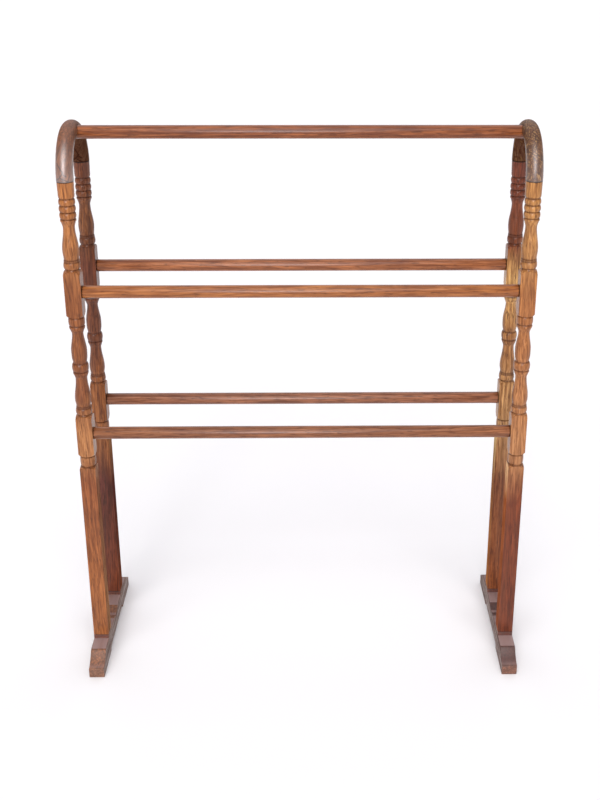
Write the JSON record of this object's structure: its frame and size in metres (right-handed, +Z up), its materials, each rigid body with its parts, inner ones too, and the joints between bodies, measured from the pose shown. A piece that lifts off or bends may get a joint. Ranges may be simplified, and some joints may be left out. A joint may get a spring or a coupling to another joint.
{
  "type": "quilt rack",
  "caption": "Free-standing wooden quilt rack: turned legs under half-round arches on sled feet, tied together by round hanging rails.",
  "frame": {"origin": "on the floor, under the middle of the rack", "axes": "+X along the rails from the left end frame to the right one, +Y from the front legs to the rear legs, +Z up"},
  "size_m": [0.7676, 0.289, 0.9744],
  "materials": {
    "arch_wood": "satin varnish",
    "front_leg_wood": "satin varnish",
    "rear_leg_wood": "satin varnish",
    "rail_wood": "satin varnish",
    "foot_wood": "satin varnish",
    "dowel_wood": "bare beech"
  },
  "bodies": {
    "root": {"left_arch": "arch_wood", "left_foot": "foot_wood", "left_front_leg": "front_leg_wood", "left_front_arch_dowel": "dowel_wood", "left_rear_leg": "rear_leg_wood", "left_rear_arch_dowel": "dowel_wood", "right_arch": "arch_wood", "right_foot": "foot_wood", "right_front_leg": "front_leg_wood", "right_front_arch_dowel": "dowel_wood", "right_rear_leg": "rear_leg_wood", "right_rear_arch_dowel": "dowel_wood", "top_rail": "rail_wood", "upper_front_rail": "rail_wood", "upper_rear_rail": "rail_wood", "lower_front_rail": "rail_wood", "lower_rear_rail": "rail_wood"}
  },
  "joints": []
}
